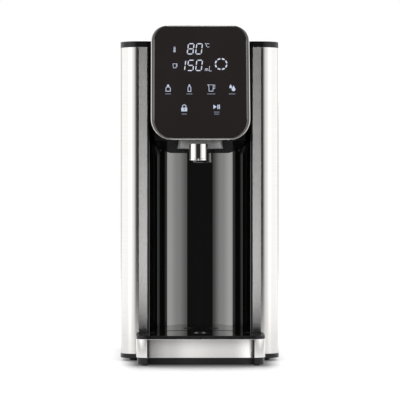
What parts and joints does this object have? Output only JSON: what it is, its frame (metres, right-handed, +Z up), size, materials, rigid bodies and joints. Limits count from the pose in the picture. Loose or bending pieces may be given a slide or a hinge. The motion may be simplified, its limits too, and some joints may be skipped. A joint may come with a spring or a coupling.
{
  "type": "instant hot water dispenser",
  "caption": "Tall counter-top hot water dispenser with steel side panels, hollow black front, leaning control head, spout, drip tray and a lift-off tank behind.",
  "frame": {"origin": "centre of the footprint's box, on the floor", "axes": "+Z up, -Y towards the front where the spout and tray are, +X to the right seen from the front"},
  "size_m": [0.16, 0.29, 0.3364],
  "materials": {
    "black_plastic": "satin",
    "black_gloss": "gloss",
    "frame_plastic": "matte",
    "brushed_steel": "brushed",
    "bright_steel": "polished",
    "plain_steel": "plain",
    "black_glass": "gloss",
    "smoke_clear": "translucent",
    "tank_clear": "clear smoke",
    "rubber": "matte",
    "hose_silicone": "milky",
    "heater_metal": "cast",
    "board": "satin",
    "dark_parts": "matte",
    "white_plastic": "matte"
  },
  "bodies": {
    "unit": {"base_plate": "black_plastic", "top_cap": "black_plastic", "back_cover": "black_plastic", "tank_dock": "black_plastic", "head_housing": "black_plastic", "front_panel": "black_gloss", "chassis_frame": "frame_plastic", "spout_holder": "frame_plastic", "pump_mount": "frame_plastic", "flow_meter_housing": "frame_plastic", "pump_housing": "frame_plastic", "left_side_panel": "brushed_steel", "right_side_panel": "brushed_steel", "head_bezel": "brushed_steel", "spout_tube": "bright_steel", "housing_screws": "plain_steel", "heater_bracket": "plain_steel", "pump_motor": "plain_steel", "temperature_sensor": "plain_steel", "control_glass": "black_glass", "outlet_guard": "smoke_clear", "rubber_feet": "rubber", "dock_seal": "rubber", "cord_gland": "rubber", "touch_pads": "rubber", "inlet_hose": "hose_silicone", "pump_hose": "hose_silicone", "heater_hose": "hose_silicone", "outlet_hose": "hose_silicone", "heater_block": "heater_metal", "control_board": "board", "power_board": "board", "display_module": "dark_parts", "thermostats": "dark_parts", "power_parts": "dark_parts", "steam_separator": "white_plastic"},
    "tray": {"drip_tray": "black_plastic", "tray_trim": "brushed_steel", "tray_feet": "rubber"},
    "plate": {"drip_plate": "black_gloss"},
    "tank": {"water_tank": "tank_clear", "tank_collar": "black_plastic", "tank_strainer": "white_plastic", "valve_cage": "white_plastic", "valve_seal": "rubber", "valve_spring": "plain_steel", "float_guide": "white_plastic", "lid_pins": "bright_steel", "handle_pins": "bright_steel"},
    "valve": {"valve_poppet": "white_plastic"},
    "float": {"tank_float": "white_plastic"},
    "lid": {"tank_lid": "black_plastic", "lid_seal": "rubber"},
    "handle": {"tank_handle": "black_plastic"},
    "impeller": {"pump_impeller": "white_plastic"},
    "turbine": {"flow_turbine": "white_plastic"}
  },
  "joints": [
    {"name": "tray_slide", "type": "slide", "parent": "unit", "child": "tray", "axis": [0, -1, 0], "range_m": [0, 0.12]},
    {"name": "plate_lift", "type": "slide", "parent": "tray", "child": "plate", "axis": [0, 0, 1], "range_m": [0, 0.05]},
    {"name": "tank_lift", "type": "slide", "parent": "unit", "child": "tank", "axis": [0, 0, 1], "range_m": [0, 0.3]},
    {"name": "valve_slide", "type": "slide", "parent": "tank", "child": "valve", "axis": [0, 0, 1], "range_m": [-0.003, 0], "deforming": ["valve_spring"]},
    {"name": "float_slide", "type": "slide", "parent": "tank", "child": "float", "axis": [0, 0, 1], "range_m": [0, 0.0157]},
    {"name": "lid_hinge", "type": "hinge", "parent": "tank", "child": "lid", "pos_m": [0, 0.1315, 0.3175], "axis": [-1, 0, 0], "range_deg": [0, 95]},
    {"name": "handle_hinge", "type": "hinge", "parent": "tank", "child": "handle", "pos_m": [0, 0.062, 0.317], "axis": [1, 0, 0], "range_deg": [0, 90]},
    {"name": "impeller_spin", "type": "hinge", "parent": "unit", "child": "impeller", "pos_m": [0, -0.00385, 0.0142], "axis": [0, 0, 1], "continuous": true},
    {"name": "turbine_spin", "type": "hinge", "parent": "unit", "child": "turbine", "pos_m": [-0.05, -0.00385, 0.017], "axis": [0, 1, 0], "continuous": true}
  ],
  "couplings": [
    {"joint": "valve_slide", "follows": "tank_lift", "ratio": -0.01}
  ]
}
